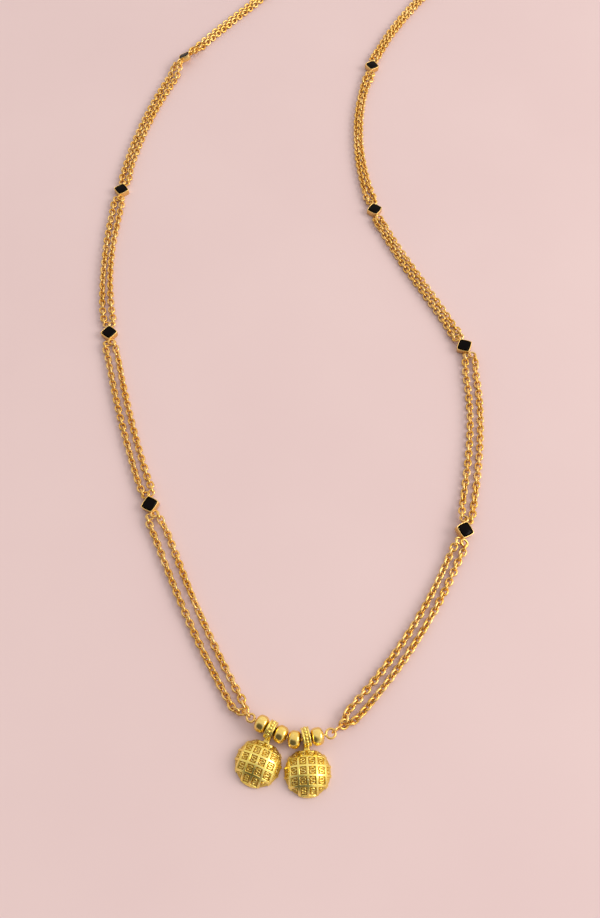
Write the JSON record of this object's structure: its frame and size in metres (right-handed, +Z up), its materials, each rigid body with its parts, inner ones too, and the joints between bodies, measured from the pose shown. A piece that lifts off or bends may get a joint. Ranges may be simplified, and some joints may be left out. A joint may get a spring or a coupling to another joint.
{
  "type": "mangalsutra",
  "caption": "Long gold chain necklace with square black-stone stations and domed grid-pattern cup pendants on a beaded wire, laid flat.",
  "frame": {"origin": "the middle of the loop as laid, on the surface that it lies on", "axes": "+Z up from the surface, +Y from the pendants to the clasp, +X to the right in the picture"},
  "size_m": [0.1274, 0.3426, 0.0046],
  "materials": {
    "gold": "polished yellow gold plating, fine wear",
    "lemon_gold": "polished lemon-yellow gold plating over cast relief",
    "black_stone": "polished opaque black, flat table and bevelled crown"
  },
  "bodies": {
    "root": {"pendant_wire": "gold", "joint_link_left": "gold", "joint_link_right": "gold", "gather_ring_right": "gold", "end_ring_left": "gold", "end_ring_right": "gold", "clasp": "gold", "bezel_left_1": "gold", "bezel_left_2": "gold", "bezel_left_3": "gold", "bezel_left_4": "gold", "bezel_left_5": "gold", "bezel_right_1": "gold", "bezel_right_2": "gold", "bezel_right_3": "gold", "bezel_right_4": "gold", "bezel_right_5": "gold", "strand_left_1a": "gold", "strand_left_1b": "gold", "strand_left_2a": "gold", "strand_left_2b": "gold", "strand_left_3a": "gold", "strand_left_3b": "gold", "strand_left_4a": "gold", "strand_left_4b": "gold", "strand_left_5a": "gold", "strand_left_5b": "gold", "strand_left_6a": "gold", "strand_left_6b": "gold", "strand_right_1a": "gold", "strand_right_1b": "gold", "strand_right_2a": "gold", "strand_right_2b": "gold", "strand_right_3a": "gold", "strand_right_3b": "gold", "strand_right_4a": "gold", "strand_right_4b": "gold", "strand_right_5a": "gold", "strand_right_5b": "gold", "strand_right_6a": "gold", "strand_right_6b": "gold", "vati_left": "lemon_gold", "vati_right": "lemon_gold", "bead_1": "lemon_gold", "bead_2": "lemon_gold", "bead_3": "lemon_gold", "bead_4": "lemon_gold", "stone_left_1": "black_stone", "stone_left_2": "black_stone", "stone_left_3": "black_stone", "stone_left_4": "black_stone", "stone_left_5": "black_stone", "stone_right_1": "black_stone", "stone_right_2": "black_stone", "stone_right_3": "black_stone", "stone_right_4": "black_stone", "stone_right_5": "black_stone"}
  },
  "joints": []
}
